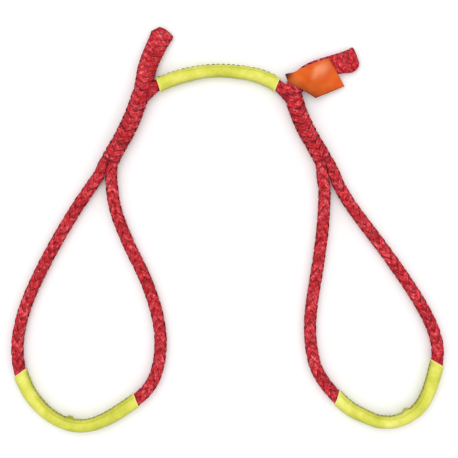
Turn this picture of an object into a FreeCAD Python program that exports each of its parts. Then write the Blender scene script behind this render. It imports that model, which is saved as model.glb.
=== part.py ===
import FreeCAD, Part
import math
import os
import Sketcher
from FreeCAD import Placement, Rotation, Vector

# Tow rope handle. One hollow-braided rope lies flat on the floor: a bridge across the top, a splice
# down each side, a hand loop below each splice and a loose tail above it. The bridge line runs inside
# the tail's braid from the crotch to the throat, and that buried stretch is the splice.
# Millimetres, +Z up, floor at Z = 0, +X to the right hand, +Y towards the bridge.

SIZES = {
    "rope_diameter": 10.0,         # the slack braid, round
    "sleeve_clearance": 0.1,       # gap between the rope and a sleeve, all round
    "sleeve_wall": 0.6,            # tubular webbing
    "bridge_sleeve_start": 13.0,   # from the left crotch, along the rope
    "bridge_sleeve_length": 100.0,
    "left_grip_start": 191.5,      # from the left throat, along the outer leg
    "right_grip_start": 190.5,     # from the right throat, along the outer leg
    "grip_sleeve_length": 118.0,
    "splice_diameter": 14.6,       # the braid swollen over the line inside it
    "core_clearance": 0.15,        # gap between the buried line and the braid round it
    "cover_gap": 0.7,              # from the round of a fork to the splice cover
    "leg_gap": 0.5,                # between the two legs where they part
    "thread_diameter": 0.8,        # lock stitching
    "stitch_turns": 3,
    "stitch_pitch": 2.2,
    "stitch_inset": 4.0,           # from the end of the cover to its first turn
    "tail_reach": 14.0,            # from a crotch to the loose tail
    "tail_root_width": 14.6,
    "tail_root_thickness": 10.0,
    "tail_end_width": 18.0,        # the empty braid opens out and lies flat
    "tail_end_thickness": 7.0,
    "flag_length": 32.5,           # along the tail
    "flag_drop": 23.0,             # from the hinge edge down to the far edge
    "flag_corner": 10.0,           # the corner folded in beside the crotch
    "flag_flare": 3.0,             # how much longer the far edge runs
    "flag_thickness": 0.8,
    "flag_root_gap": 1.2,          # from the rope up to the flag, beside the crotch
    "flag_fall": 3.0,              # the hinge edge's drop along the tail
    "flag_slope": 10.0,            # degrees, how far the flag leans down to the floor
}

doc = FreeCAD.newDocument("tow_rope_handle")
sheet = doc.addObject("Spreadsheet::Sheet", "sizes")
for row, (alias, value) in enumerate(SIZES.items(), start=1):
    sheet.set(f"A{row}", alias)
    sheet.set(f"B{row}", str(value))
    sheet.setAlias(f"B{row}", alias)
doc.recompute()


def size(alias):
    return float(sheet.get(alias))


# Heights of the centrelines above the floor. Each piece lies on its own underside.
ROPE = size("rope_diameter") / 2
SLEEVE = size("rope_diameter") / 2 + size("sleeve_clearance") + size("sleeve_wall")
SPLICE = size("splice_diameter") / 2 + size("thread_diameter") / 2
TAIL = size("tail_end_thickness") / 2

# From a crotch to the bridge rope, and from a crotch or a throat to the splice cover.
CROTCH_REACH = size("rope_diameter")
COVER_REACH = size("splice_diameter") / 2 + size("cover_gap")

# The rope's route, chosen by hand: x and y of each corner, and the centreline's height there.
LEFT_THROAT = Vector(-91, 56, SPLICE)
LEFT_CROTCH = Vector(-66.5, 109, SPLICE)
RIGHT_THROAT = Vector(75, 56.5, SPLICE)
RIGHT_CROTCH = Vector(50.5, 107.5, SPLICE)

BRIDGE_ROUTE = [
    LEFT_CROTCH,
    Vector(-46, 119.5, SLEEVE),
    Vector(-25, 125.5, SLEEVE),
    Vector(-5, 127.3, SLEEVE),
    Vector(14, 125.5, SLEEVE),
    Vector(33, 121, SLEEVE),
    RIGHT_CROTCH,
]
LEFT_LOOP_ROUTE = [
    LEFT_THROAT,
    Vector(-112, 29, ROPE),
    Vector(-131, -1, ROPE),
    Vector(-149, -34, ROPE),
    Vector(-164.5, -67, ROPE),
    Vector(-170, -99, SLEEVE),
    Vector(-162, -127, SLEEVE),
    Vector(-144, -149, SLEEVE),
    Vector(-124, -158.5, SLEEVE),
    Vector(-106, -157.5, SLEEVE),
    Vector(-85, -146.5, SLEEVE),
    Vector(-60.5, -128.5, SLEEVE),
    Vector(-52.5, -104, ROPE),
    Vector(-53, -76, ROPE),
    Vector(-64, -42, ROPE),
    Vector(-80, -12, ROPE),
    Vector(-92.5, 22, ROPE),
    LEFT_THROAT,
]
RIGHT_LOOP_ROUTE = [
    RIGHT_THROAT,
    Vector(97, 21, ROPE),
    Vector(131, -23, ROPE),
    Vector(160, -66.5, SLEEVE),
    Vector(171, -96, SLEEVE),
    Vector(164.5, -124.5, SLEEVE),
    Vector(156.3, -142.6, SLEEVE),
    Vector(142.3, -153.3, SLEEVE),
    Vector(124.5, -156, SLEEVE),
    Vector(107, -149, SLEEVE),
    Vector(93, -140.5, SLEEVE),
    Vector(72.5, -117, SLEEVE),
    Vector(66.5, -92, ROPE),
    Vector(66.5, -66, ROPE),
    Vector(72.5, -28, ROPE),
    Vector(78.2, 15, ROPE),
    RIGHT_THROAT,
]
LEFT_TAIL_ROUTE = [LEFT_CROTCH, Vector(-64.5, 126), Vector(-58.5, 142), Vector(-50.5, 157.5)]
RIGHT_TAIL_ROUTE = [
    RIGHT_CROTCH,
    Vector(57, 116.5),
    Vector(66.5, 124),
    Vector(79, 129),
    Vector(92, 132.5),
    Vector(105, 137),
]
FLAG_START = Vector(53, 121.5)
FLAG_BEARING = 22.6  # degrees, the way the flag's hinge edge points, seen from above


def falling(route):
    """A tail's route, with its height falling evenly from the crotch to the tail's end."""
    far = (Vector(route[-1].x, route[-1].y, 0) - Vector(route[0].x, route[0].y, 0)).Length
    points = [route[0]]
    for corner in route[1:]:
        gone = (Vector(corner.x, corner.y, 0) - Vector(route[0].x, route[0].y, 0)).Length
        points.append(Vector(corner.x, corner.y, SPLICE + (TAIL - SPLICE) * gone / far))
    return points


def bend_radius(before, corner, after):
    """The radius of the arc that rounds a corner: as large as 0.45 of its shorter run allows."""
    come, go = corner - before, after - corner
    return 0.45 * min(come.Length, go.Length) / math.tan(come.getAngle(go) / 2)


def route_edges(points):
    """The edges of a route: straight runs joined by tangent arcs."""
    edges, here = [], points[0]
    for before, corner, after in zip(points, points[1:], points[2:]):
        come = (corner - before).normalize()
        go = (after - corner).normalize()
        half_turn = come.getAngle(go) / 2
        radius = bend_radius(before, corner, after)
        reach = radius * math.tan(half_turn)
        first, last = corner - come * reach, corner + go * reach
        inward = (go - come).normalize()
        middle = corner + inward * (radius / math.cos(half_turn) - radius)
        edges.append(Part.LineSegment(here, first).toShape())
        edges.append(Part.Arc(first, middle, last).toShape())
        here = last
    edges.append(Part.LineSegment(here, points[-1]).toShape())
    return edges


def stretch(edges, start, end):
    """The part of a route between two distances along it."""
    kept, gone = [], 0.0
    for edge in edges:
        low, high = max(start - gone, 0.0), min(end - gone, edge.Length)
        if high - low > 1e-6:
            first, last = edge.getParameterByLength(low), edge.getParameterByLength(high)
            kept.append(edge.Curve.toShape(first, last))
        gone += edge.Length
    return kept


def route_length(edges):
    return sum(edge.Length for edge in edges)


def along(direction):
    """The turn that points local Z along a direction and keeps local X level."""
    return Rotation(direction.cross(Vector(0, 0, 1)) * -1, Vector(), direction, "ZXY")


def ends_of(edges):
    """Where a route starts and ends, each with the direction it runs in."""
    first, last = edges[0], edges[-1]
    return (
        (first.valueAt(first.FirstParameter), first.tangentAt(first.FirstParameter)),
        (last.valueAt(last.LastParameter), last.tangentAt(last.LastParameter)),
    )


def add_path(name, edges):
    path = doc.addObject("Part::Feature", name + "_path")
    path.Shape = Part.Wire(edges)
    return path


def add_circle(name, place, radius):
    """A round section across a route; radius is an expression on the sheet."""
    section = doc.addObject("Part::Circle", name)
    section.setExpression("Radius", radius)
    section.Placement = Placement(place[0], along(place[1]))
    return section


def add_ellipse(name, place, width, thickness):
    """A flat oval section across a route, its width level; both sizes are aliases."""
    section = doc.addObject("Part::Ellipse", name)
    section.setExpression("MajorRadius", f"sizes.{width} / 2")
    section.setExpression("MinorRadius", f"sizes.{thickness} / 2")
    section.Placement = Placement(place[0], along(place[1]))
    return section


def add_sweep(name, path, sections):
    sweep = doc.addObject("Part::Sweep", name)
    sweep.Sections = sections
    sweep.Spine = (path, [f"Edge{n + 1}" for n in range(len(path.Shape.Edges))])
    sweep.Solid = True
    sweep.Frenet = False
    return sweep


def add_rope(name, edges):
    """A stretch of rope: a round tube along its route."""
    path = add_path(name, edges)
    section = add_circle(name + "_section", ends_of(edges)[0], "sizes.rope_diameter / 2")
    rope = add_sweep(name + "_tube", path, [section])
    rope.Label = name
    tubes[name] = (route_length(edges), math.pi * ROPE**2)
    return rope


def add_sleeve(name, edges):
    """A sleeve threaded on the rope: a thin tube, cut square at both ends."""
    path = add_path(name, edges)
    start = ends_of(edges)[0]
    bore = "sizes.rope_diameter / 2 + sizes.sleeve_clearance"
    outside = add_circle(name + "_outside", start, bore + " + sizes.sleeve_wall")
    inside = add_circle(name + "_inside", start, bore)
    sleeve = doc.addObject("Part::Cut", name + "_wall")
    sleeve.Base = add_sweep(name + "_body", path, [outside])
    sleeve.Tool = add_sweep(name + "_bore", path, [inside])
    sleeve.Label = name
    bore_radius = SLEEVE - size("sleeve_wall")
    tubes[name] = (route_length(edges), math.pi * (SLEEVE**2 - bore_radius**2))
    return sleeve


def add_cylinder(name, start, direction, length, radius):
    """A round bar from a point; radius is an expression on the sheet."""
    bar = doc.addObject("Part::Cylinder", name)
    bar.setExpression("Radius", radius)
    bar.Height = length
    bar.Placement = Placement(start, along(direction))
    return bar


def add_knuckle(name, centre, arms):
    """Where the rope forks: a ball, with an arm that follows each route to the piece that meets it."""
    ball = doc.addObject("Part::Sphere", name + "_ball")
    ball.setExpression("Radius", "(sizes.splice_diameter - sizes.thread_diameter) / 2")
    ball.Placement = Placement(centre, along(ends_of(arms[0][0])[0][1]))
    pieces = [ball]
    for n, (edges, radius) in enumerate(arms):
        arm = f"{name}_arm_{n}"
        section = add_circle(arm + "_section", ends_of(edges)[0], radius)
        pieces.append(add_sweep(arm, add_path(arm, edges), [section]))
    knuckle = doc.addObject("Part::MultiFuse", name + "_fused")
    knuckle.Shapes = pieces
    knuckle.Label = name
    return knuckle


def add_cover(name, start, direction, length):
    """The braid over a splice: a hollow round sleeve of braid, padded from its cross-section."""
    body = doc.addObject("PartDesign::Body", name + "_body")
    sketch = body.newObject("Sketcher::SketchObject", name + "_sketch")
    plane = next(o for o in body.Origin.OriginFeatures if o.Role == "XY_Plane")
    sketch.AttachmentSupport = (plane, [""])
    sketch.MapMode = "FlatFace"
    radii = (
        "sizes.splice_diameter / 2",
        "sizes.rope_diameter / 2 + sizes.core_clearance",
    )
    for n, radius in enumerate(radii):
        sketch.addGeometry(Part.Circle(Vector(), Vector(0, 0, 1), 5 - n), False)
        sketch.addConstraint(Sketcher.Constraint("Coincident", n, 3, -1, 1))
        rule = sketch.addConstraint(Sketcher.Constraint("Radius", n, 5 - n))
        sketch.setExpression(f"Constraints[{rule}]", radius)
    pad = body.newObject("PartDesign::Pad", name + "_pad")
    pad.Profile = sketch
    pad.Length = length
    body.Placement = Placement(start, along(direction))
    body.Label = name
    return body


def add_stitching(name, start, direction):
    """Lock stitching: turns of thread drawn tight into the braid, one after another."""
    turns = []
    for n in range(int(size("stitch_turns"))):
        turn = doc.addObject("Part::Torus", f"{name}_turn_{n}")
        turn.setExpression("Radius1", "sizes.splice_diameter / 2")
        turn.setExpression("Radius2", "sizes.thread_diameter / 2")
        place = start + direction * (size("stitch_inset") + n * size("stitch_pitch"))
        turn.Placement = Placement(place, along(direction))
        turns.append(turn)
    stitching = doc.addObject("Part::Compound", name + "_turns")
    stitching.Links = turns
    stitching.Label = name
    return stitching


def add_tail(name, edges):
    """A loose tail: the empty braid, nearly round at the crotch and flattened at its end."""
    path = add_path(name, edges)
    start, end = ends_of(edges)
    root = add_ellipse(name + "_root", start, "tail_root_width", "tail_root_thickness")
    tip = add_ellipse(name + "_tip", end, "tail_end_width", "tail_end_thickness")
    tail = add_sweep(name + "_body", path, [root, tip])
    tail.Label = name
    return tail


def flag_turn():
    """The turn of the flag's plane: local X down its hinge edge, local Z out of its face."""
    level = Rotation(Vector(0, 0, 1), FLAG_BEARING)
    edge = level * Vector(size("flag_length"), 0, -size("flag_fall"))
    return Rotation(edge, size("flag_slope")) * Rotation(edge, Vector(), Vector(0, 0, 1), "XZY")


def add_flag(name):
    """The flag: a thin plate that lies over the right tail and leans down in front of it."""
    body = doc.addObject("PartDesign::Body", name + "_body")
    sketch = body.newObject("Sketcher::SketchObject", name + "_sketch")
    plane = next(o for o in body.Origin.OriginFeatures if o.Role == "XY_Plane")
    sketch.AttachmentSupport = (plane, [""])
    sketch.MapMode = "FlatFace"
    length, drop, corner = size("flag_length"), size("flag_drop"), size("flag_corner")
    outline = [
        Vector(0, 0),
        Vector(length, 0),
        Vector(length + size("flag_flare"), -drop),
        Vector(corner, -drop),
        Vector(size("flag_flare"), corner - drop),
    ]
    for n, point in enumerate(outline):
        sketch.addGeometry(Part.LineSegment(point, outline[(n + 1) % len(outline)]), False)
    for n in range(len(outline)):
        sketch.addConstraint(Sketcher.Constraint("Coincident", n, 2, (n + 1) % len(outline), 1))
    pad = body.newObject("PartDesign::Pad", name + "_pad")
    pad.Profile = sketch
    pad.setExpression("Length", "sizes.flag_thickness")
    height = SPLICE + ROPE + size("flag_root_gap")
    body.Placement = Placement(FLAG_START + Vector(0, 0, height), flag_turn())
    body.Label = name
    return body


def add_splice(side, crotch, throat, bridge_route, tail_route):
    """A splice with its crotch and its loose tail; both routes start at the crotch."""
    way = (throat - crotch).normalize()
    start = crotch + way * COVER_REACH
    length = (throat - crotch).Length - 2 * COVER_REACH
    end = start + way * length
    tail_edges = route_edges(tail_route)
    core = add_cylinder(side + "_splice_core_bar", start, way, length, "sizes.rope_diameter / 2")
    core.Label = side + "_splice_core"
    arms = [
        ([Part.LineSegment(crotch, start).toShape()], "sizes.splice_diameter / 2"),
        (stretch(route_edges(bridge_route), 0, CROTCH_REACH), "sizes.rope_diameter / 2"),
        (stretch(tail_edges, 0, size("tail_reach")), "sizes.rope_diameter / 2"),
    ]
    return [
        add_cover(side + "_splice_cover", start, way, length),
        core,
        add_knuckle(side + "_crotch_rope", crotch, arms),
        add_stitching(side + "_crotch_stitching", start, way),
        add_stitching(side + "_throat_stitching", end, way * -1),
        add_tail(side + "_tail", stretch(tail_edges, size("tail_reach"), route_length(tail_edges))),
    ]


def add_loop(side, crotch, throat, route, grip_start):
    """A hand loop: two legs that part at the throat, and the grip between them in its sleeve."""
    edges, back = route_edges(route), route_edges(route[::-1])
    outer_way, inner_way = ends_of(edges)[0][1], ends_of(back)[0][1]
    reach = (size("rope_diameter") + size("leg_gap")) / (2 * math.sin(outer_way.getAngle(inner_way) / 2))
    grip_end = grip_start + size("grip_sleeve_length")
    cover_end = throat + (crotch - throat).normalize() * COVER_REACH
    arms = [
        ([Part.LineSegment(throat, cover_end).toShape()], "sizes.splice_diameter / 2"),
        (stretch(edges, 0, reach), "sizes.rope_diameter / 2"),
        (stretch(back, 0, reach), "sizes.rope_diameter / 2"),
    ]
    print(f"{side} loop: whole route {route_length(edges):.1f}, legs part {reach:.2f} from the throat")
    return [
        add_knuckle(side + "_throat_rope", throat, arms),
        add_rope(side + "_outer_leg", stretch(edges, reach, grip_start)),
        add_rope(side + "_grip_rope", stretch(edges, grip_start, grip_end)),
        add_rope(side + "_inner_leg", stretch(edges, grip_end, route_length(edges) - reach)),
        add_sleeve(side + "_grip_sleeve", stretch(edges, grip_start, grip_end)),
    ]


def add_bridge():
    """The bridge: the rope between the crotches, and the sleeve over nearly all of it."""
    edges = route_edges(BRIDGE_ROUTE)
    sleeve_start = size("bridge_sleeve_start")
    sleeve_end = sleeve_start + size("bridge_sleeve_length")
    print(f"bridge: whole route {route_length(edges):.1f}")
    return [
        add_rope("bridge_rope", stretch(edges, CROTCH_REACH, route_length(edges) - CROTCH_REACH)),
        add_sleeve("bridge_sleeve", stretch(edges, sleeve_start, sleeve_end)),
    ]


def print_bends(name, route):
    radii = [bend_radius(*corner) for corner in zip(route, route[1:], route[2:])]
    print(name, "bend radii:", " ".join(f"{radius:.0f}" for radius in radii))


tubes = {}  # label: its route's length and its section's area
left_tail_route, right_tail_route = falling(LEFT_TAIL_ROUTE), falling(RIGHT_TAIL_ROUTE)
nodes = add_bridge()
nodes += add_splice("left", LEFT_CROTCH, LEFT_THROAT, BRIDGE_ROUTE, left_tail_route)
nodes += add_loop("left", LEFT_CROTCH, LEFT_THROAT, LEFT_LOOP_ROUTE, size("left_grip_start"))
nodes += add_splice("right", RIGHT_CROTCH, RIGHT_THROAT, BRIDGE_ROUTE[::-1], right_tail_route)
nodes += add_loop("right", RIGHT_CROTCH, RIGHT_THROAT, RIGHT_LOOP_ROUTE, size("right_grip_start"))
nodes.append(add_flag("warning_flag"))
doc.recompute()

print_bends("bridge", BRIDGE_ROUTE)
print_bends("left loop", LEFT_LOOP_ROUTE)
print_bends("right loop", RIGHT_LOOP_ROUTE)
print_bends("left tail", left_tail_route)
print_bends("right tail", right_tail_route)

for item in doc.Objects:
    if "Invalid" in item.State or "Error" in item.State:
        raise RuntimeError(f"{item.Name} failed: {item.State}")
for node in nodes:
    if node.Shape.isNull() or not node.Shape.isValid() or node.Shape.Volume <= 0:
        raise RuntimeError(f"{node.Label} has no valid shape")
for node in nodes:
    if node.Label in tubes:
        length, section = tubes[node.Label]
        share = node.Shape.Volume / (length * section)
        print(f"{node.Label}: {length:.1f} long, volume / (section x length) = {share:.4f}")
        if abs(share - 1) > 0.01:
            raise RuntimeError(f"{node.Label} lost part of its tube")

os.makedirs("parts", exist_ok=True)
for node in nodes:
    node.Shape.exportStep(f"parts/{node.Label}.step")
print(len(nodes), "nodes written")
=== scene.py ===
import math

import bpy
import numpy as np
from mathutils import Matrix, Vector


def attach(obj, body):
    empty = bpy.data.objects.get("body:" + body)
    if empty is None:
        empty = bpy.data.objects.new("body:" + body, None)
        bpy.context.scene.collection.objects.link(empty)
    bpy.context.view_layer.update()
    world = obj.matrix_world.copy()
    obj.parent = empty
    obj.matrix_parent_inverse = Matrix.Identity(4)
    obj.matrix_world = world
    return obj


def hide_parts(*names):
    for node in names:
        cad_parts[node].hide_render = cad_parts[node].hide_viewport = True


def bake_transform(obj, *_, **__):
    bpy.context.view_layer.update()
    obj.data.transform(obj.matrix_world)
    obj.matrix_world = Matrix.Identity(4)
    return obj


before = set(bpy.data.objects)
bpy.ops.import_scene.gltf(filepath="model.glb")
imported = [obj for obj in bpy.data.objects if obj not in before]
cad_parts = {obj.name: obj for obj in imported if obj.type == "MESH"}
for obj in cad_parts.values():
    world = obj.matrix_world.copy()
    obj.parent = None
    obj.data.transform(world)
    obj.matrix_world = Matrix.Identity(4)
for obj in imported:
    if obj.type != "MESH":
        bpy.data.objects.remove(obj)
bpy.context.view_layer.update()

# One hollow-braided rope: on each side a loose tail, a splice and a hand loop, and a bridge between
# them. Lengths are in millimetres here, and the meshes are written in metres.

MM = 0.001
STRANDS = 12               # in the braid: six each way
ROPE = 5.0                 # outside radius of the slack braid
SPLICE = 7.3               # outside radius where the braid is swollen over the buried line
TAIL_WIDE, TAIL_HIGH = 8.0, 3.5    # half sizes of a tail, where it is opened out and lies flat
ROOT_WIDE, ROOT_HIGH = 7.4, 5.2    # half sizes of a tail beside its crotch
LEAD = 50.0                # length of one full turn of a strand round the slack rope
SPLICE_LEAD = 35.0         # the same in a splice, and in a tail
TAIL_LEAD = 27.6
STEP = 1.05                # spacing of the sections along a strand
LIP_STEP = 0.7             # the same where the braid rolls in at the throat
SLEEVE_OUT = 5.7           # outside radius of the webbing, and its inside radius
SLEEVE_IN = 5.0
STITCH_TURNS = 3           # of each lock stitching, and the distance from turn to turn
STITCH_PITCH = 2.2

LEFT_THROAT = (-91.2, 56, 7.7)
LEFT_CROTCH = (-66.5, 109, 7.7)
RIGHT_THROAT = (75.7, 56.5, 7.7)
RIGHT_CROTCH = (50.5, 107.5, 7.7)
BRIDGE = [
    (-46, 118.8, 5.7), (-25, 124.8, 5.7), (-5, 126.6, 5.7), (14, 124.8, 5.7), (33, 120.3, 5.7),
]
LEFT_LOOP = [
    (-112, 29, 5), (-131, -1, 5), (-149, -34, 5), (-163.5, -67, 5), (-168.8, -99, 5.7),
    (-162, -127, 5.7), (-144, -149, 5.7), (-124, -158.5, 5.7), (-106, -157.5, 5.7),
    (-85, -146.5, 5.7), (-60.5, -128.5, 5.7), (-52.5, -104, 5), (-53, -76, 5), (-63.5, -42, 5),
    (-79, -12, 5), (-92, 22, 5),
]
RIGHT_LOOP = [
    (97, 21, 5), (131, -23, 5), (160, -66.5, 5.7), (171, -96, 5.7), (164.5, -124.5, 5.7),
    (156.3, -142.6, 5.7), (142.3, -153.3, 5.7), (124.5, -156, 5.7), (107, -149, 5.7),
    (93, -140.5, 5.7), (72.5, -117, 5.7), (66.8, -92, 5), (67, -66, 5), (73.6, -28, 5),
    (79, 15, 5),
]
LEFT_TAIL = [(-50.5, 157.5, 3.5), (-58.5, 142, 4.8), (-64.5, 126, 6.3)]
RIGHT_TAIL = [
    (105, 137, 3.5), (92, 132.5, 4.4), (79, 129.3, 5.2), (66, 124.8, 5.7), (57, 116.5, 6.9),
]
# a grip sleeve's start and end from the throat, and the whole loop, all along the rope
LEFT_GRIP = (192.3, 311.8, 518.4)
RIGHT_GRIP = (191.9, 306.5, 504.7)
# how far both legs lean outwards near the fork, and from where to where below it that fades
LEFT_LEAN = (1.3, 6, 24)
RIGHT_LEAN = (1.1, 16, 44)

READ_STEP = 0.5            # spacing of the places at which a line is held
EVENED = 9                 # how many of them its direction is evened out over


class Line:
    """A smooth line through space, read by the distance along it."""

    def __init__(self, points):
        data = bpy.data.curves.new("line", "CURVE")
        data.dimensions = "3D"
        data.resolution_u = 24
        spline = data.splines.new("NURBS")
        spline.points.add(len(points) - 1)
        for point, place in zip(spline.points, points):
            point.co = (place[0] * MM, place[1] * MM, place[2] * MM, 1.0)
        spline.order_u = 3
        spline.use_endpoint_u = True
        holder = bpy.data.objects.new("line", data)
        bpy.context.scene.collection.objects.link(holder)
        bpy.context.view_layer.update()
        mesh = bpy.data.meshes.new_from_object(holder)
        read = np.array([v.co for v in mesh.vertices], float) / MM
        bpy.data.meshes.remove(mesh)
        bpy.data.objects.remove(holder)
        bpy.data.curves.remove(data)
        run = np.r_[0, np.cumsum(np.linalg.norm(np.diff(read, axis=0), axis=1))]
        self.length = float(run[-1])
        self.s = np.linspace(0, self.length, int(self.length / READ_STEP) + 2)
        self.p = np.stack([np.interp(self.s, run, read[:, k]) for k in range(3)], 1)
        along = np.gradient(self.p, self.s, axis=0)
        kernel = np.hanning(EVENED) / np.hanning(EVENED).sum()
        padded = np.pad(along, ((EVENED // 2, EVENED // 2), (0, 0)), mode="edge")
        along = np.stack([np.convolve(padded[:, k], kernel, "valid") for k in range(3)], 1)
        self.t = along / np.linalg.norm(along, axis=1, keepdims=True)

    def near(self, place, low=0.0, high=None):
        """The distance along the line at which it comes nearest to a place."""
        high = self.length if high is None else high
        inside = (self.s >= low) & (self.s <= high)
        gap = np.linalg.norm(self.p - np.array(place, float), axis=1)
        return float(self.s[inside][np.argmin(gap[inside])])

    def at(self, s):
        """Points, tangents, left-hand directions and up directions at these distances."""
        p = np.stack([np.interp(s, self.s, self.p[:, k]) for k in range(3)], 1)
        t = np.stack([np.interp(s, self.s, self.t[:, k]) for k in range(3)], 1)
        t /= np.linalg.norm(t, axis=1, keepdims=True)
        side = np.cross(np.array([0, 0, 1.0]), t)
        side /= np.linalg.norm(side, axis=1, keepdims=True)
        return p, t, side, np.cross(t, side)


def smooth(x, low, high):
    """Rises gently from 0 at low to 1 at high."""
    x = np.clip((np.asarray(x, float) - low) / (high - low), 0, 1)
    return x * x * (3 - 2 * x)


def new_mesh(name, verts, faces, attributes=None, uv=None, material=None):
    """A mesh object from points in millimetres, with one number for each point under each name."""
    data = bpy.data.meshes.new(name)
    data.from_pydata((np.asarray(verts, float) * MM).tolist(), [], faces)
    for key, values in (attributes or {}).items():
        layer = data.attributes.new(key, "FLOAT", "POINT")
        layer.data.foreach_set("value", np.asarray(values, np.float32))
    if uv is not None:
        layer = data.uv_layers.new(name="UVMap")
        corner = np.zeros(len(data.loops), np.int64)
        data.loops.foreach_get("vertex_index", corner)
        layer.data.foreach_set("uv", np.asarray(uv, np.float32)[corner].ravel())
    data.shade_smooth()
    data.validate()
    piece = bpy.data.objects.new(name, data)
    bpy.context.scene.collection.objects.link(piece)
    if material is not None:
        data.materials.append(material)
    return piece


def tube_faces(rows, round_count, start=0, caps=True):
    """Quads between rings of points, and a cap at each end."""
    i = np.arange(rows - 1)[:, None] * round_count
    j = np.arange(round_count)[None, :]
    k = (j + 1) % round_count
    quads = np.stack([i + j, i + k, i + round_count + k, i + round_count + j], -1)
    faces = (quads.reshape(-1, 4) + start).tolist()
    if caps:
        faces.append([start + n for n in reversed(range(round_count))])
        last = start + (rows - 1) * round_count
        faces.append([last + n for n in range(round_count)])
    return faces


def rings(middle, across, out, wide, high):
    """Points round each place on a line: wide is how far across, and high how far out."""
    return (
        middle[:, None, :]
        + across[:, None, :] * wide[:, :, None]
        + out[:, None, :] * high[:, :, None]
    )


# A strand is two yarns side by side: two ridges outside, nearly flat inside. Each place is across
# the strand and out from it, in half widths and half thicknesses.
YARNS = np.array([
    (-1.00, -0.10), (-0.90, 0.45), (-0.66, 0.90), (-0.38, 0.90), (-0.13, 0.42), (0.00, 0.22),
    (0.13, 0.42), (0.38, 0.90), (0.66, 0.90), (0.90, 0.45), (1.00, -0.10), (0.50, -0.70),
    (-0.50, -0.70),
])[::-1]
# These four grow with the rope's half size to the power GROWTH.
THICK = 0.1479             # half a strand's thickness
RISE = 0.105               # how far it rises and dips where strands cross
DEPTH = 0.27               # from the rope's outside in to a strand's middle
FILLING = 0.40             # from the rope's outside in to the dark filling
GROWTH = 0.85
STEEPNESS = 2.4            # how abruptly a strand changes from over to under
CROWDING = 1.04            # a strand's width over its share of the way round
FILLING_SIDES = 10


class Braid:
    """Gathers the strands and the filling, in painted shade, of one length of rope in one mesh."""

    def __init__(self, seed):
        random = np.random.default_rng(seed)
        self.tints = random.uniform(0, 1, STRANDS)
        # for each strand: how its angle, height and width wander; the fourth draw is spare
        self.wander = random.uniform(0, 6.28, (STRANDS, 4))
        self.verts, self.faces, self.uv = [], [], []
        self.groove, self.flank, self.tint = [], [], []
        self.count, self.rows = 0, 0

    def _take(self, ring, groove, flank, tint, uv):
        """Adds one closed tube, given as rows of points, with its values at those points."""
        rows, around = ring.shape[:2]
        self.faces += tube_faces(rows, around, self.count)
        self.verts.append(ring.reshape(-1, 3))
        for held, values in ((self.groove, groove), (self.flank, flank), (self.tint, tint)):
            held.append(np.broadcast_to(values, (rows, around)).ravel())
        self.uv.append(np.broadcast_to(uv, (rows, around, 2)).reshape(-1, 2))
        self.count += rows * around

    def rope(self, line, start, end, width, height, turn, shift=None, shade=None, step=STEP):
        """Adds a stretch of a line.

        At a distance along the line, width and height give the outside half sizes, turn gives the
        strands' angle and shade gives how deep in shadow they are. shift moves the line's points.
        """
        self.rows = rows = max(3, int(round((end - start) / step)) + 1)
        s = np.linspace(start, end, rows)
        centre, along, side, up = line.at(s)
        if shift is not None:
            centre = centre + shift(centre)
        wide, high, angle = width(s), height(s), turn(s)
        grown = np.minimum(wide, high) ** GROWTH
        thick = THICK * grown
        w, h = wide - DEPTH * grown, high - DEPTH * grown
        # painted shade: a strand is darker at its edges, in the dip between its yarns and on its
        # underside
        edge = np.clip(np.abs(YARNS[:, 0]) * 1.25 - 0.45, 0, 1) ** 2
        valley = np.clip(0.75 - YARNS[:, 1], 0, 1) * 0.75
        for k in range(STRANDS):
            way = 1 if k % 2 else -1
            a = way * angle + (k // 2) * math.pi / 3 + 0.10 * np.sin(s / 37 + self.wander[k, 0])
            # over two strands that go the other way, then under two
            wave = -way * np.tanh(STEEPNESS * np.cos(3 * a)) / math.tanh(STEEPNESS)
            lift = RISE * grown * wave + 0.06 * np.sin(s / 2.3 + self.wander[k, 1])
            ca, sa = np.cos(a), np.sin(a)
            out = np.stack([ca / w, sa / h], 1)
            out /= np.linalg.norm(out, axis=1, keepdims=True)
            x, y = w * ca + out[:, 0] * lift, h * sa + out[:, 1] * lift
            middle = centre + side * x[:, None] + up * y[:, None]
            normal = side * out[:, :1] + up * out[:, 1:]
            across = np.cross(normal, along)
            half = np.sqrt((w * sa) ** 2 + (h * ca) ** 2) * 2 * math.pi / STRANDS * CROWDING
            half = half * (1 + 0.05 * np.sin(s / 5.1 + self.wander[k, 2]))
            ring = rings(
                middle, across, normal, half[:, None] * YARNS[:, 0], thick[:, None] * YARNS[:, 1]
            )
            # painted shade: a strand is darker where it dips under the others, plus the shadow that
            # shade gives
            dark = 0.62 * (0.5 - 0.5 * wave) + (0 if shade is None else shade(s, ca))
            groove = np.clip(dark[:, None] + edge[None, :] * 0.36 + valley[None, :], 0, 1)
            # painted shade: the strands are darker on the rope's sides than on its top and bottom
            flank = 0.5 - 0.5 * np.abs(out[:, 1:])
            length = np.r_[0, np.cumsum(np.linalg.norm(np.diff(middle, axis=0), axis=1))]
            u = np.repeat(YARNS[None, :, 0] * 0.5 + 0.5 + 2 * k, rows, 0)
            v = np.repeat(length[:, None] * 0.1, len(YARNS), 1)
            self._take(ring, groove, flank, self.tints[k], np.stack([u, v], -1))
        # the filling carries full painted shade, seen in the gaps between the strands
        a = np.arange(FILLING_SIDES) / FILLING_SIDES * 2 * math.pi
        w, h = (wide - FILLING * grown)[:, None], (high - FILLING * grown)[:, None]
        self._take(rings(centre, side, up, w * np.cos(a), h * np.sin(a)), 1.0, 1.0, 0.0, 0.0)

    def piece(self, name, material, shape=None):
        verts = np.concatenate(self.verts)
        if shape is not None:
            verts = shape(verts)
        values = {"groove": self.groove, "flank": self.flank, "tint": self.tint}
        values = {key: np.concatenate(parts) for key, parts in values.items()}
        return new_mesh(name, verts, self.faces, values, np.concatenate(self.uv), material)


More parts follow.
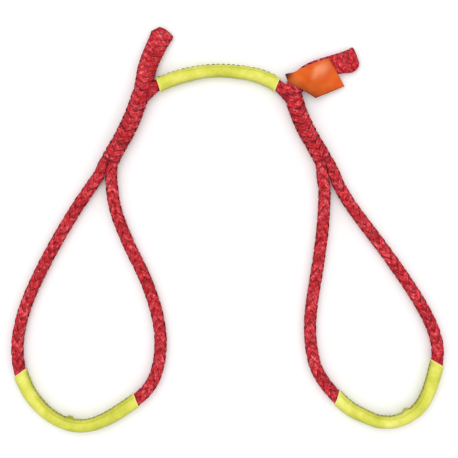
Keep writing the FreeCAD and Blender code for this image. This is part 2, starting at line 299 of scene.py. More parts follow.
# ---------------------------------------------------------------- looks


def new_material(name, slots):
    made = bpy.data.materials.new(name)
    made.use_nodes = True
    shader = made.node_tree.nodes["Principled BSDF"]
    for key, value in slots.items():
        shader.inputs[key].default_value = value
    return made, made.node_tree, shader


def node(tree, kind, values=None, **settings):
    made = tree.nodes.new(kind)
    for key, value in settings.items():
        setattr(made, key, value)
    for key, value in (values or {}).items():
        made.inputs[key].default_value = value
    return made


def ramp(tree, stops, source):
    made = tree.nodes.new("ShaderNodeValToRGB")
    while len(made.color_ramp.elements) < len(stops):
        made.color_ramp.elements.new(0.5)
    for element, (place, colour) in zip(made.color_ramp.elements, stops):
        element.position = place
        element.color = (*colour, 1)
    tree.links.new(source, made.inputs["Fac"])
    return made.outputs["Color"]


def plug(tree, value, socket):
    """Feeds a socket from another node's output, or sets it to a fixed value."""
    if hasattr(value, "links"):
        tree.links.new(value, socket)
    else:
        socket.default_value = value


def mix(tree, first, second, share, how="MIX"):
    """Mixes two colours; 0, 6, 7 and 2 are the node's sockets for colours."""
    made = node(tree, "ShaderNodeMix", data_type="RGBA", blend_type=how)
    for key, value in ((0, share), (6, first), (7, second)):
        plug(tree, value, made.inputs[key])
    return made.outputs[2]


def times(tree, colour, *layers):
    for layer in layers:
        colour = mix(tree, colour, layer, 1.0, "MULTIPLY")
    return colour


def arithmetic(tree, first, second, how):
    made = node(tree, "ShaderNodeMath", operation=how)
    plug(tree, first, made.inputs[0])
    plug(tree, second, made.inputs[1])
    return made.outputs["Value"]


def noise(tree, vector, scale, detail, **more):
    made = node(tree, "ShaderNodeTexNoise", {"Scale": scale, "Detail": detail, **more})
    tree.links.new(vector, made.inputs["Vector"])
    return made.outputs["Fac"]


def painted(tree, name):
    """The value that the mesh holds at each point under this name."""
    return node(tree, "ShaderNodeAttribute", attribute_name=name).outputs["Fac"]


def finish(tree, shader, colour, height, strength, distance):
    """Plugs in the colour, and a bump of this height."""
    tree.links.new(colour, shader.inputs["Base Color"])
    bump = node(tree, "ShaderNodeBump", {"Strength": strength, "Distance": distance})
    tree.links.new(height, bump.inputs["Height"])
    tree.links.new(bump.outputs["Normal"], shader.inputs["Normal"])


def red_rope(name):
    made, tree, shader = new_material(name, {
        "Roughness": 0.66, "Sheen Weight": 0.12, "Sheen Roughness": 0.5,
        "Sheen Tint": (1.0, 0.45, 0.5, 1), "Specular IOR Level": 0.16,
    })
    place = node(tree, "ShaderNodeTexCoord").outputs["Object"]
    yarn = node(tree, "ShaderNodeUVMap", uv_map="UVMap").outputs["UV"]
    spread = node(tree, "ShaderNodeMapping", {"Scale": (9.0, 3.2, 1.0)})
    tree.links.new(yarn, spread.inputs["Vector"])
    fibres = noise(tree, spread.outputs["Vector"], 1.0, 5.0, Roughness=0.65)
    mottle = noise(tree, place, 400.0, 4.0, Roughness=0.65)
    grain = arithmetic(tree, arithmetic(tree, fibres, mottle, "ADD"), 0.5, "MULTIPLY")
    # random flecks and patches of darker and paler red in the yarn; their pink ends are painted
    # sheen highlights
    fleck = ramp(tree, [
        (0.40, (0.30, 0.003, 0.008)), (0.48, (0.53, 0.010, 0.020)),
        (0.55, (0.68, 0.047, 0.058)), (0.64, (0.85, 0.235, 0.26)),
    ], grain)
    patch = ramp(tree, [
        (0.35, (0.84, 0.70, 0.76)), (0.5, (1.0, 1.0, 1.0)), (0.66, (1.10, 1.9, 1.8)),
    ], noise(tree, place, 80.0, 3.0))
    tone = ramp(tree, [(0.0, (0.84, 0.80, 0.82)), (1.0, (1.08, 1.1, 1.08))], painted(tree, "tint"))
    # painted light and shade: the rope's top a little lighter, its sides darker
    side = ramp(tree, [
        (0.10, (1.05, 1.05, 1.05)), (0.30, (0.80, 0.74, 0.76)), (0.55, (0.50, 0.42, 0.46)),
    ], painted(tree, "flank"))
    # painted shade: dark red under crossing strands, at strand edges, in the filling and where
    # shade gives shadow
    deep = ramp(tree, [
        (0.25, (0, 0, 0)), (0.60, (0.26, 0.26, 0.26)), (1.00, (0.74, 0.74, 0.74)),
    ], painted(tree, "groove"))
    colour = mix(tree, times(tree, fleck, patch, tone, side), (0.16, 0.004, 0.010, 1), deep)
    finish(tree, shader, colour, grain, 0.6, 0.0004)
    return made


def yellow_webbing(name):
    made, tree, shader = new_material(name, {
        "Roughness": 0.58, "Sheen Weight": 0.3, "Sheen Roughness": 0.4,
        "Sheen Tint": (1, 1, 0.75, 1), "Specular IOR Level": 0.3,
    })
    place = node(tree, "ShaderNodeTexCoord").outputs["Object"]
    cloth = node(tree, "ShaderNodeUVMap", uv_map="UVMap").outputs["UV"]
    yarns = []
    for way, scale, distortion in (("X", 9.0, 0.4), ("Y", 11.0, 0.6)):
        values = {"Scale": scale, "Distortion": distortion, "Detail": 1.0}
        yarn = node(tree, "ShaderNodeTexWave", values, bands_direction=way)
        tree.links.new(cloth, yarn.inputs["Vector"])
        yarns.append(yarn.outputs["Fac"])
    weave = arithmetic(tree, *yarns, "MULTIPLY")
    base = ramp(tree, [
        (0.30, (0.60, 0.61, 0.055)), (0.5, (0.76, 0.75, 0.100)), (0.70, (0.90, 0.87, 0.22)),
    ], noise(tree, place, 60.0, 4.0))
    lines = ramp(tree, [(0.0, (0.80, 0.82, 0.66)), (0.45, (1, 1, 1))], weave)
    # painted light and shade: the webbing's top lighter; its sides, crease, inner bend and lining
    # darker
    side = ramp(tree, [
        (0.06, (1.06, 1.06, 1.12)), (0.26, (0.90, 0.90, 0.84)), (0.50, (0.56, 0.56, 0.50)),
    ], painted(tree, "flank"))
    soil = ramp(tree, [
        (0.34, (0.93, 0.92, 0.88)), (0.5, (1, 1, 1)), (0.66, (1.03, 1.03, 1.08)),
    ], noise(tree, place, 330.0, 5.0, Roughness=0.7))
    colour = times(tree, base, lines, side, soil)
    colour = mix(tree, colour, (0.88, 0.80, 0.30, 1), painted(tree, "fray"))
    finish(tree, shader, colour, weave, 0.35, 0.0003)
    return made


def orange_film(name):
    made, tree, shader = new_material(name, {
        "Roughness": 0.36, "Coat Weight": 0.04, "Coat Roughness": 0.2,
        "Specular IOR Level": 0.14,
    })
    place = node(tree, "ShaderNodeTexCoord").outputs["Object"]
    base = ramp(tree, [
        (0.30, (0.52, 0.058, 0.002)), (0.5, (0.65, 0.090, 0.003)), (0.72, (0.74, 0.15, 0.018)),
    ], noise(tree, place, 42.0, 3.0, Distortion=0.6))
    # mixes in the painted highlight that the film's mesh holds, then its painted shade
    colour = mix(tree, base, (0.92, 0.34, 0.16, 1), painted(tree, "film_highlight"))
    colour = mix(tree, colour, (0.07, 0.012, 0.003, 1), painted(tree, "film_shade"))
    finish(tree, shader, colour, noise(tree, place, 130.0, 5.0), 0.18, 0.0006)
    return made


def thread(name, colour):
    made, tree, shader = new_material(name, {"Roughness": 0.6, "Specular IOR Level": 0.3})
    place = node(tree, "ShaderNodeTexCoord").outputs["Object"]
    fibre = noise(tree, place, 1500.0, 2.0)
    dark = tuple(c * 0.45 for c in colour)
    finish(tree, shader, ramp(tree, [(0.35, dark), (0.65, colour)], fibre), fibre, 0.4, 0.0002)
    return made


RED = red_rope("red_braid")
YELLOW = yellow_webbing("yellow_tubular_webbing")
ORANGE = orange_film("orange_flag_film")
LOCK_LOOK = thread("red_lock_thread", (0.30, 0.010, 0.018))
SEAM_LOOK = thread("dark_seam_thread", (0.12, 0.115, 0.05))

# ---------------------------------------------------------------- rope


UP = np.array([0, 0, 1.0])


def unit(v):
    v = np.array(v, float)
    return v / np.linalg.norm(v)


def point(v):
    return tuple(float(x) * MM for x in v)


class Side:
    """The host braid of one side: from its tail's tip through the splice and round the loop.

    c and t are the distances along it of the crotch and of the mouth at the throat, where both
    legs come out of the splice, and back is where the loop comes back to the mouth.
    """

    PAST_FORK = 2.0        # how far the splice's braid reaches past the fork, over both legs

    def __init__(self, tail, crotch, throat, loop, grip, lean):
        self.crotch, self.throat, self.lean = crotch, throat, lean
        self.host = Line(tail + [crotch, throat] + loop + [throat, crotch])
        self.c = self.host.near(crotch, 0, 120)
        fork = self.host.near(throat, self.c, self.c + 90)
        back = self.host.near(throat, self.host.length - 90)
        begin, end, total = grip
        share = (back - fork) / total
        self.grip = (fork + begin * share, fork + end * share)
        self.t, self.back = fork + self.PAST_FORK, back - self.PAST_FORK
        # where the first turn of each lock stitching lies
        self.stitched = (self.c + 12.0, self.t - 18.4)

    def turn(self, s):
        """Strands turn faster where the braid is swollen, and faster still in the flat tail."""
        grid = np.linspace(0, self.host.length, 3000)
        lead = LEAD - (LEAD - SPLICE_LEAD) * smooth(-grid, -self.t - 6, -self.t + 6)
        lead = lead - (SPLICE_LEAD - TAIL_LEAD) * smooth(-grid, -self.c - 4, -self.c + 12)
        turned = np.r_[0, np.cumsum(2 * math.pi / lead[1:] * np.diff(grid))]
        return np.interp(s, grid, turned)

    def pinch(self, s):
        """How far the braid is drawn in at the crotch and under the lock stitching."""
        drawn = 0.8 * np.exp(-((s - self.c) / 1.5) ** 2)
        for first in self.stitched:
            drawn = drawn + 0.22 * np.exp(-((s - first - STITCH_PITCH) / 3.2) ** 2)
        return drawn

    def width(self, s):
        """Half the width: the tail flares at its tip and narrows towards the crotch."""
        tail = TAIL_WIDE + 1.2 * np.exp(-s / 4.5) - 0.4 * np.exp(-s / 0.8)
        tail = tail + (ROOT_WIDE - TAIL_WIDE) * smooth(s, 8, self.c - 4)
        return tail + (SPLICE - ROOT_WIDE) * smooth(s, self.c - 4, self.c + 6) - self.pinch(s)

    def height(self, s):
        """Half the height: the tail is thin at its tip and thicker towards the crotch."""
        tail = TAIL_HIGH - 1.2 * np.exp(-s / 1.5)
        tail = tail + (ROOT_HIGH - TAIL_HIGH) * smooth(s, 4, self.c - 4)
        return tail + (SPLICE - ROOT_HIGH) * smooth(s, self.c - 5, self.c + 8) - self.pinch(s)

    def lip(self, size):
        """The splice's braid rolls in where it ends round the two legs."""
        return lambda s: size(s) - 1.5 * smooth(s, self.t - 1.6, self.t + 0.2) ** 2

    def bow(self, centre):
        """The splice lies bowed a little towards the middle of the handle."""
        start, end = np.array(self.crotch, float), np.array(self.throat, float)
        reach = np.linalg.norm(end - start)
        way = (end - start) / reach
        inward = np.cross(way, UP)
        inward = inward * -np.sign(inward[0] * start[0])
        share = np.clip((centre - start) @ way / reach, 0, 1)
        return inward * (0.9 * np.sin(math.pi * share) ** 2)[..., None]

    def mouth(self, s, around):
        """How deep in shadow the braid is at the throat's mouth, the crotch and the tail's tip."""
        deep = 1.4 * smooth(s, self.t - 2.0, self.t - 0.4)
        ragged = 0.5 + 0.5 * np.sin(around * 7 + 1.0)
        deep = deep + (0.7 + 0.5 * ragged) * np.exp(-((s - self.c - ragged) / 1.1) ** 2)
        return deep + 1.2 * np.exp(-s / 1.1)

    def out_of_mouth(self, s):
        return np.minimum(s - self.t, self.back - s)

    def leg_size(self, s):
        """The legs are squeezed inside the mouth, and held in by the sleeve."""
        first, last = self.grip
        held = smooth(s, first + 2, first + 8) * (1 - smooth(s, last - 8, last - 2))
        return ROPE - 0.75 * (1 - smooth(self.out_of_mouth(s), -2, 14)) - 0.9 * held

    def leg_shade(self, s, around):
        """How deep in shadow the legs are where they come out of the mouth."""
        return 1.1 * (1 - smooth(self.out_of_mouth(s), -0.5, 2.5))


class Fork:
    """Where the two legs leave the mouth: side by side, pressed flat against each other.

    Places are read as how far beside the throat they are, and how far below it towards the hand.
    """

    PARTED = 17.0          # below the throat, where the legs part

    def __init__(self, rope):
        below = rope.host.at(np.array([rope.t + 24.0, rope.back - 24.0]))[0]
        self.throat = np.array(rope.throat, float)
        go = below.mean(0) - self.throat
        go[2] = 0
        self.down = unit(go)
        self.beside = np.cross(self.down, UP)
        self.outer = 1.0 if float((below[0] - below[1]) @ self.beside) > 0 else -1.0
        self.lean = rope.lean

    def read(self, places):
        return (places - self.throat) @ self.beside, (places - self.throat) @ self.down

    def shift(self, centre):
        """Moves the legs' lines apart near the mouth, where they would run into each other."""
        n = len(centre)
        sign = np.where(np.arange(n) < n // 2, self.outer, -self.outer)
        inner_leg = sign != self.outer
        offset, below = self.read(centre)
        off = offset * sign
        apart = 3.1 + 1.9 * np.clip(below / self.PARTED, 0, 1.3)
        apart = np.where(below > self.PARTED, np.maximum(off, apart), apart)
        moved = (apart - off) * (1 - smooth(below, 20, 30))
        moved = np.where(below > 40, 0, moved)
        lean, near, far = self.lean
        leaning = lean * smooth(below, -1, 5) * (1 - smooth(below, near, far))
        moved = moved + sign * self.outer * leaning
        moved = moved - 0.6 * inner_leg * (1 - smooth(below, 6, 18))
        lift = 0.5 * (1 - smooth(below, 4, 20)) * inner_leg
        return self.beside * (moved * sign)[:, None] + UP * lift[:, None]

    def press(self, verts, way):
        """Flattens a leg where it would go through the other one; way is 1 or -1, its side."""
        offset, below = self.read(verts)
        seat = self.outer * (1.3 + 0.9 * (1 - smooth(below, 5, 17))) * smooth(below, -1, 5)
        inside = np.clip(0.1 - (offset - seat) * way, 0, None)
        return verts + self.beside * (way * inside * (1 - smooth(below, 24, 30)))[:, None]

    def press_both(self, verts, rows):
        """The first half of a loop's rows is its outer leg, and the rest its inner leg."""
        rings = verts.reshape(rows, -1, 3)
        legs = ((rings[:rows // 2], self.outer), (rings[rows // 2:], -self.outer))
        return np.concatenate([self.press(leg.reshape(-1, 3), way) for leg, way in legs])


def round_tip(off, deep):
    """The left tail's tip is cut round one corner."""
    return np.interp(off, [-1, -0.85, -0.5, 0, 0.6, 1], [3.6, 2.6, -2.1, -2.5, -1.5, 0.0]), 0 * off


def slant_tip(off, deep):
    """The right tail's lower corner is cut off, and the braid bulges a little behind it."""
    bulge = 1.7 * np.clip(off, 0, 1) * np.exp(-(((deep - 8) / 5.5) ** 2))
    return np.interp(off, [-1, -0.7, 0.5, 0.75, 1], [0.9, 0.5, 0.3, 1.4, 4.5]), bulge


def make_side(side, rope, profile, seed):
    """One side's four pieces of rope. profile gives how far in its tip is cut and how it bulges."""
    host = rope.host
    made = {"rope": rope, "down": unit(np.subtract(rope.throat, rope.crotch))}

    def tip(verts):
        end, along, beside, _ = (v[0] for v in host.at(np.array([0.0])))
        off = np.clip((verts - end) @ beside / 9.2, -1, 1)
        deep = np.clip((verts - end) @ along, 0, None)
        cut, bulge = profile(off, deep)
        moved = along * (cut * np.exp(-deep / 6.0))[:, None]
        return verts + moved + beside * bulge[:, None]

    braid = Braid(seed)
    braid.rope(host, 0, rope.c, rope.width, rope.height, rope.turn, None, rope.mouth)
    made["tail"] = braid.piece(f"{side}_tail_braid", RED, tip)
    cut = rope.t - 16
    braid = Braid(seed)
    braid.rope(host, rope.c, cut, rope.width, rope.height, rope.turn, rope.bow, rope.mouth)
    made["splice"] = braid.piece(f"{side}_splice_braid", RED)
    braid = Braid(seed)
    braid.rope(
        host, cut, rope.t, rope.lip(rope.width), rope.lip(rope.height), rope.turn, rope.bow,
        rope.mouth, LIP_STEP,
    )
    made["throat"] = braid.piece(f"{side}_throat_braid", RED)
    # the hand loop: both legs start just inside the mouth
    first, last = rope.t - 3.5, rope.back + 3.5
    fork = Fork(rope)
    braid = Braid(seed)
    braid.rope(
        host, first, last, rope.leg_size, rope.leg_size, rope.turn, fork.shift, rope.leg_shade
    )
    braid.verts = [fork.press_both(part, braid.rows) for part in braid.verts]
    made["loop"] = braid.piece(f"{side}_loop_rope", RED)
    centre = host.at(np.linspace(first, last, 260))[0]
    made["path"] = centre + fork.shift(centre)
    made["length"] = last - first
    return made


left = make_side(
    "left", Side(LEFT_TAIL, LEFT_CROTCH, LEFT_THROAT, LEFT_LOOP, LEFT_GRIP, LEFT_LEAN),
    round_tip, 3,
)
right = make_side(
    "right", Side(RIGHT_TAIL, RIGHT_CROTCH, RIGHT_THROAT, RIGHT_LOOP, RIGHT_GRIP, RIGHT_LEAN),
    slant_tip, 5,
)

# the bridge line, from inside one splice to inside the other
BRIDGE_INSIDE = 5.0
bridge = Line([LEFT_THROAT, LEFT_CROTCH] + BRIDGE + [RIGHT_CROTCH, RIGHT_THROAT])
bridge_a = bridge.near(LEFT_CROTCH, 30, 100)
bridge_b = bridge.near(RIGHT_CROTCH, bridge.length - 100)
bridge_start, bridge_end = bridge_a - BRIDGE_INSIDE, bridge_b + BRIDGE_INSIDE


def bridge_size(s):
    """The line is squeezed where it goes into each splice, and held in by the sleeve."""
    inside = np.minimum(s - bridge_start, bridge_end - s)
    held = smooth(inside, 20, 26)
    return ROPE - 0.25 - 1.1 * (1 - smooth(inside, 0, 9)) - 0.65 * held


def bridge_shade(s, around):
    inside = np.minimum(s - bridge_start, bridge_end - s)
    return 0.75 * (1 - smooth(inside, 5.5, 9.5))


def bridge_turn(s):
    return (s - bridge_a) * 2 * math.pi / LEAD


braid = Braid(11)
braid.rope(
    bridge, bridge_start, bridge_end, bridge_size, bridge_size, bridge_turn, None, bridge_shade
)
bridge_rope = braid.piece("bridge_rope_braid", RED)

# ---------------------------------------------------------------- sleeves


SECTION = 84               # points round a sleeve, three to a rib
RIBS = 28
SEAM_PITCH = 3.9
SEAM_THREAD = 0.32         # radius
SEAM_LEFT, SEAM_RIGHT = 1, -1


def sleeve(name, line, start, end, seed, seam_way, slim, slant, pucker=None):
    """Tubular webbing: ribs along it, ends cut a little askew, a crease, small folds in a bend.

    seam_way is the side of the line that the seam is on, and slim is how much narrower the middle
    is. slant is how far each end's two corners lean along the rope. Round a section, the angle a
    starts at the line's left. pucker is where the cloth bunches up on the inside of a bend.
    """
    random = np.random.default_rng(seed)
    rows = int((end - start) / 0.8) + 1
    s = np.linspace(start, end, rows)
    centre, along, side, up = line.at(s)
    a = np.arange(SECTION) / SECTION * 2 * math.pi
    share = ((s - start) / (end - start))[:, None]
    waves = sum(
        0.06 * np.sin(s[:, None] / f + 2 * np.cos(a)[None, :] + random.uniform(0, 6))
        for f in (1.7, 3.1, 5.3)
    )
    ribs = 0.05 * np.cos(a * RIBS)[None, :]
    ends = 0.20 * (np.exp(-(s - start) / 1.6) + np.exp(-(end - s) / 1.6))[:, None]
    curve = np.gradient(along, s, axis=0)
    bend = np.linalg.norm(curve, axis=1)[:, None]
    way = np.sign(np.sum(curve * side, 1))[:, None]
    inner = np.clip(np.cos(a)[None, :] * way, 0, 1) ** 2
    folds = 8.0 * bend * inner * (0.5 + 0.5 * np.sin(s[:, None] / 1.1 + random.uniform(0, 6)))
    toward = math.pi / 2 - seam_way * math.radians(32)
    crease = -0.30 * np.exp(-((a - toward) / 0.10) ** 2)[None, :] * smooth(share, 0.04, 0.3)
    bump = 0.0
    if pucker is not None:
        place = line.near(pucker, start, end)
        bump = 2.1 * np.exp(-((s[:, None] - place) / 3.0) ** 4) * inner
        bump = bump + 0.7 * np.exp(-((s[:, None] - place - 7.6) / 1.8) ** 2) * inner
    high = SLEEVE_OUT - 0.08 + waves + ribs + ends + folds + crease
    wide = high + 0.22 * np.cos(math.pi * share) ** 2 - slim * np.sin(math.pi * share) ** 3 + bump
    bore = np.broadcast_to(SLEEVE_IN + 0.8 * ends, high.shape)
    narrow = bore - slim * np.sin(math.pi * share) ** 2
    lean = slant[0] * np.exp(-(s - start) / 6.0) + slant[1] * np.exp(-(end - s) / 6.0)
    leaning = along[:, None, :] * (lean[:, None] * np.cos(a)[None, :])[:, :, None]

    def section(across, upward):
        return (
            centre[:, None, :] + leaning
            + side[:, None, :] * (across * np.cos(a))[:, :, None]
            + up[:, None, :] * (upward * np.sin(a))[:, :, None]
        )

    cloth, lining = section(wide, high * 0.985), section(narrow, bore)
    verts = np.concatenate([cloth.reshape(-1, 3), lining[::-1].reshape(-1, 3)])
    faces = tube_faces(rows * 2, SECTION, 0, caps=False)
    last = (rows * 2 - 1) * SECTION
    for j in range(SECTION):
        k = (j + 1) % SECTION
        faces.append([last + j, last + k, k, j])
    u = np.tile(a / (2 * math.pi) * 3.6, (rows, 1))
    v = np.tile((s - start)[:, None] * 0.1, (1, SECTION))
    uv = np.stack([u, v], -1)
    uv = np.concatenate([uv.reshape(-1, 2), uv[::-1].reshape(-1, 2)])
    # painted shade: darker low on each side, in the crease, on the side towards the hands, along
    # the inside of a bend and most at the pucker, and all through the lining
    south = side[:, 1:2] * np.cos(a)[None, :]
    flank = 0.5 - 0.5 * np.abs(np.sin(a))[None, :] - crease * 0.8 + 0.16 * np.clip(-south, 0, 1)
    if pucker is not None:
        flank = flank + (0.30 + 0.15 * bump) * np.clip(np.cos(a)[None, :] * way, 0, 1) ** 5
    fray = np.exp(-(s - start) / 0.7) + np.exp(-(end - s) / 0.7)
    fray = np.tile(fray[:, None], (1, SECTION))
    values = {
        "flank": np.concatenate([flank.ravel(), np.ones(rows * SECTION)]),
        "fray": np.concatenate([fray.ravel(), fray[::-1].ravel()]),
    }
    piece = new_mesh(name, verts, faces, values, uv, YELLOW)
    return piece, seam_stitches(f"{name}_seam", line, start, end, random, seam_way, slim)


def seam_stitches(name, line, start, end, random, seam_way, slim):
    """Short raised stitches in a row along a sleeve's edge."""
    verts, faces = [], []
    angle = math.radians(14) if seam_way == SEAM_LEFT else math.radians(166)
    rows, around = 5, 6
    b = np.arange(around) / around * 2 * math.pi
    for n in range(int((end - start - 3) / SEAM_PITCH)):
        first = start + 2.0 + n * SEAM_PITCH + random.uniform(-0.2, 0.2)
        s = np.linspace(first, first + SEAM_PITCH * random.uniform(0.55, 0.75), rows)
        middle, along, side, up = line.at(s)
        out = side * math.cos(angle) + up * math.sin(angle)
        share = (s - start) / (end - start)
        reach = SLEEVE_OUT - slim * np.sin(math.pi * share) ** 2
        reach = reach + np.array([-0.15, 0.12, 0.20, 0.12, -0.15])
        across = np.cross(along, out)
        ring = rings(
            middle + out * reach[:, None], across, out,
            SEAM_THREAD * np.cos(b)[None, :], SEAM_THREAD * np.sin(b)[None, :],
        )
        faces += tube_faces(rows, around, n * rows * around)
        verts.append(ring.reshape(-1, 3))
    return new_mesh(name, np.concatenate(verts), faces, None, None, SEAM_LOOK)


# The bridge sleeve starts 13 mm from the left crotch on a bridge of this length.
BRIDGE_LENGTH = 125.3
share = (bridge_b - bridge_a) / BRIDGE_LENGTH
start = bridge_a + 13.0 * share
bridge_sleeve, bridge_seam = sleeve(
    "bridge_sleeve_webbing", bridge, start - 1.0, start + 100.6 * share, 21, SEAM_LEFT, 0.45,
    (0.7, -1.3),
)
grips = {}
for side, made, seam_way, slant, pucker in (
    ("left", left, SEAM_LEFT, (-2.0, 1.5), (-125.0, -150.5, 5.7)),
    ("right", right, SEAM_RIGHT, (2.1, -2.8), (143.5, -146.5, 5.7)),
):
    rope = made["rope"]
    grips[side] = sleeve(
        f"{side}_grip_sleeve_webbing", rope.host, *rope.grip, 31, seam_way, 0.55, slant, pucker
    )


# ---------------------------------------------------------------- lock stitching


def stitching(name, rope, start):
    """Turns of laid thread sunk into the braid."""
    around, ply = 64, 8
    verts, faces = [], []
    a = np.linspace(0, 2 * math.pi, around, endpoint=False)
    b = np.arange(ply) / ply * 2 * math.pi
    i, j = np.arange(around)[:, None], np.arange(ply)[None, :]
    i2, k = (i + 1) % around, (j + 1) % ply
    quads = np.stack([i * ply + j, i2 * ply + j, i2 * ply + k, i * ply + k], -1).reshape(-1, 4)
    for n in range(STITCH_TURNS):
        s = start + STITCH_PITCH * n + 0.35 * np.sin(a + n)
        middle, along, side, up = rope.host.at(s)
        middle = middle + rope.bow(middle)
        out = side * np.cos(a)[:, None] + up * np.sin(a)[:, None]
        at = middle + out * (rope.width(s) - 0.42)[:, None]
        radius = 0.34 + 0.08 * np.cos(2 * (b[None, :] - 18 * a[:, None]))
        ring = rings(at, along, out, radius * np.cos(b)[None, :], radius * np.sin(b)[None, :])
        faces += (quads + n * around * ply).tolist()
        verts.append(ring.reshape(-1, 3))
    return new_mesh(name, np.concatenate(verts), faces, None, None, LOCK_LOOK)


threads = {
    side: [
        stitching(f"{side}_{name}_stitching_thread", made["rope"], first)
        for name, first in zip(("crotch", "throat"), made["rope"].stitched)
    ]
    for side, made in (("left", left), ("right", right))
}

# ---------------------------------------------------------------- flag

FLAG_START = np.array([53.0, 121.5, 13.9])     # near end of the hinge edge
BEARING = math.radians(22.6)                   # the way that edge points, seen from above
FILM = 0.4                                     # thickness
CLEAR = 0.45                                   # from the braid up to the film's upper face
flag_x = np.array([math.cos(BEARING), math.sin(BEARING), 0])
flag_y = np.array([-math.sin(BEARING), math.cos(BEARING), 0])


def film_height(rope, flat, columns):
    """How high the film lies: over the braid it follows its round, and past it it hangs clear."""
    tail = rope.host
    inside = tail.s < rope.c - 2
    line, reach = tail.p[inside], tail.s[inside]
    near = np.argmin(((flat[:, None, :2] - line[None, :, :2]) ** 2).sum(-1), axis=1)
    along, middle = tail.t[inside][near], line[near]
    off = (flat - middle)[:, :2]
    across = off[:, 0] * -along[:, 1] + off[:, 1] * along[:, 0]
    wide, high = rope.width(reach[near]), rope.height(reach[near])
    over = np.clip(np.abs(across) / (wide + 0.8), 0, 1)
    cover = middle[:, 2] + (high + CLEAR) * np.sqrt(1 - over ** 2)
    far_side = across * np.sign(np.median(across[-columns:]))
    beyond = np.clip(far_side, 0, None)
    free = middle[:, 2] + high + CLEAR - 0.16 * beyond - 0.004 * beyond ** 2
    return np.where(far_side > 0, np.maximum(free, 1.2), cover)


def thin_solid(top, columns, rows, thick):
    """The points and faces of a film whose upper face has these points, row by row."""
    verts = np.concatenate([top, top - UP * thick])
    n = columns * rows
    faces = []
    for r in range(rows - 1):
        for c in range(columns - 1):
            a = r * columns + c
            faces.append([a, a + columns, a + columns + 1, a + 1])
            faces.append([n + a, n + a + 1, n + a + columns + 1, n + a + columns])
    rim = (
        list(range(columns))
        + [r * columns + columns - 1 for r in range(1, rows)]
        + [(rows - 1) * columns + c for c in range(columns - 2, -1, -1)]
        + [r * columns for r in range(rows - 2, 0, -1)]
    )
    for a, b in zip(rim, rim[1:] + rim[:1]):
        faces.append([a, b, n + b, n + a])
    return verts, faces


def flag(rope):
    """A stiff film laid over the tail: its top edge rests on the braid, the far one hangs clear.

    u runs along the tail and v down from the hinge edge, both from 0 to 1; x and y are the same
    in millimetres, y upwards.
    """
    columns, rows = 49, 41
    u = np.linspace(0, 1, columns)[None, :]
    v = np.linspace(0, 1, rows)[:, None]
    y = np.broadcast_to(2.5 - 25.5 * v, (rows, columns))
    left_edge = np.interp(-y, [-2.5, 2.6, 8.0, 13.5, 23], [-3.2, -5.4, -1.8, 3.0, 10])
    right_edge = 32.0 + 3.5 * v
    x = left_edge + (right_edge - left_edge) * u
    # the near corner is pinched up into a small hook, darkened below with painted shade
    hook = np.exp(-(u / 0.10) ** 2) * np.exp(-(v / 0.12) ** 2)
    x, y = x - 1.8 * hook, y + 1.5 * hook + 0.8 * np.sin(math.pi * u) * (1 - v)
    top = (FLAG_START + x[..., None] * flag_x + y[..., None] * flag_y).reshape(-1, 3)
    z = film_height(rope, top, columns).reshape(rows, columns)
    # a swell across the film, a ridge, a hollow beside it, and the hook
    z = z + 1.1 * np.sin(math.pi * u) * smooth(v, 0.25, 0.7) * (1 - 0.5 * v)
    z = z + 0.5 * np.exp(-(((x - 21 - 0.55 * y) / 4.5) ** 2)) * smooth(v, 0.08, 0.3)
    z = z - 0.8 * np.exp(-(((x - 9 + 0.50 * y) / 2.8) ** 2)) * smooth(v, 0.3, 0.6)
    top[:, 2] = (z + 1.6 * hook).ravel()
    verts, faces = thin_solid(top, columns, rows, FILM)
    # painted shade: darker on the hook, along the lower and near rims, towards the lower left and
    # at the far rim
    rim_shade = 0.30 * smooth(v, 0.93, 1.0) + 0.35 * smooth(-u, -0.03, 0) * smooth(v, 0.3, 0.7)
    low_left_shade = 0.26 * smooth(v - 1.3 * u, -0.3, 0.6) + 0.3 * smooth(-u, -0.22, 0)
    dark = np.clip(0.95 * hook + rim_shade + low_left_shade + 0.14 * smooth(u, 0.95, 1.0), 0, 1)
    # painted highlight: a pale streak along the ridge and a broad pale patch near the top towards
    # the far end, kept off the painted shade
    film_highlight = 0.35 * np.exp(-(((x - 21 - 0.75 * y) / 3.2) ** 2)) * smooth(v, 0.04, 0.2)
    film_highlight = film_highlight * (1 - smooth(v, 0.35, 0.62))
    film_highlight = film_highlight + 0.6 * np.exp(-((x - 25 - 0.3 * y) / 6.0) ** 2 - ((y + 3.5) / 5.0) ** 2)
    film_highlight = np.clip(film_highlight - 1.5 * dark, 0, 1)
    values = {"film_shade": np.tile(dark.ravel(), 2), "film_highlight": np.tile(film_highlight.ravel(), 2)}
    return new_mesh("warning_flag_film", verts, faces, values, None, ORANGE)


flag_film = flag(right["rope"])

# ---------------------------------------------------------------- what rides on what

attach(bridge_rope, "bridge")
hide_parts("bridge_rope")
point(LEFT_CROTCH)
[point(p) for p in bridge.at(np.linspace(bridge_start, bridge_end, 70))[0]]
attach(bridge_sleeve, "bridge")
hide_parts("bridge_sleeve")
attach(bridge_seam, "bridge")

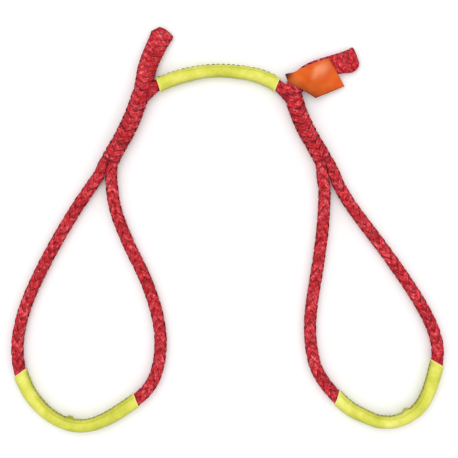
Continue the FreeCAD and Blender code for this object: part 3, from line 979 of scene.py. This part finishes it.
for side, made, crotch, throat in (
    ("left", left, LEFT_CROTCH, LEFT_THROAT), ("right", right, RIGHT_CROTCH, RIGHT_THROAT),
):
    rope, down = made["rope"], made["down"]
    c, t = np.array(crotch, float), np.array(throat, float)
    away = -rope.host.at(np.array([rope.c - 16.0, rope.c]))[1][0]
    away[2] = 0
    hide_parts(f"{side}_tail", f"{side}_crotch_rope")
    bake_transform(made["tail"], "bridge", f"{side}_tail", point(c), point(c + unit(away) * 18))
    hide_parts(f"{side}_splice_cover", f"{side}_splice_core")
    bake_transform(made["splice"], "bridge", f"{side}_splice", point(c), point(c + down * 11))
    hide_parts(f"{side}_throat_rope")
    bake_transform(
        made["throat"], f"{side}_splice", f"{side}_throat", point(t - down * 14), point(t)
    )
    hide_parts(f"{side}_outer_leg", f"{side}_inner_leg", f"{side}_grip_rope")
    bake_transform(made["loop"], f"{side}_throat", f"{side}_loop", point(t), point(t + down * 22))
    grip, seam = grips[side]
    point(throat)
    [point(p) for p in made["path"]]
    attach(grip, f"{side}_loop")
    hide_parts(f"{side}_grip_sleeve")
    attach(seam, f"{side}_loop")
    for ring, name in zip(threads[side], ("crotch", "throat")):
        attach(ring, f"{side}_splice")
        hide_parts(f"{side}_{name}_stitching")

hinge = FLAG_START - flag_y * 0.5
point(hinge)
point(hinge - flag_y * 6)
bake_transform(flag_film)
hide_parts("warning_flag")

# ---------------------------------------------------------------- studio


def floor():
    made, tree, shader = new_material("pale_floor", {"Roughness": 0.9, "Specular IOR Level": 0.1})
    speck = node(tree, "ShaderNodeTexNoise", {"Scale": 6.0, "Detail": 2.0})
    tone = ramp(tree, [(0.3, (0.93, 0.93, 0.93)), (0.7, (0.95, 0.95, 0.95))], speck.outputs["Fac"])
    tree.links.new(tone, shader.inputs["Base Color"])
    half, low = 3000, -0.05
    verts = [(-half, -half, low), (half, -half, low), (half, half, low), (-half, half, low)]
    return new_mesh("floor", verts, [[0, 1, 2, 3]], None, None, made)


floor()
scene = bpy.context.scene
scene.view_settings.view_transform = "Standard"
world = bpy.data.worlds.new("studio")
scene.world = world
world.use_nodes = True
background = world.node_tree.nodes["Background"]
background.inputs["Color"].default_value = (1, 1, 1, 1)
background.inputs["Strength"].default_value = 0.92


def lamp(name, place, size, energy):
    data = bpy.data.lights.new(name, "AREA")
    data.shape = "DISK"
    data.size = size
    data.energy = energy
    made = bpy.data.objects.new(name, data)
    scene.collection.objects.link(made)
    made.location = place
    made.rotation_euler = (-Vector(place)).to_track_quat("-Z", "Y").to_euler()


lamp("key", (-0.3, 0.4, 1.4), 1.2, 5.5)
lamp("fill", (0.6, -0.5, 1.3), 1.4, 2.5)

camera_data = bpy.data.cameras.new("camera")
camera_data.lens = 100
camera_data.sensor_width = 36
camera_data.clip_start = 0.01
camera = bpy.data.objects.new("camera", camera_data)
scene.collection.objects.link(camera)
camera.location = (0.002, -0.0004, 1.0238)
camera.rotation_euler = (0, 0, 0)
scene.camera = camera

bpy.context.view_layer.update()
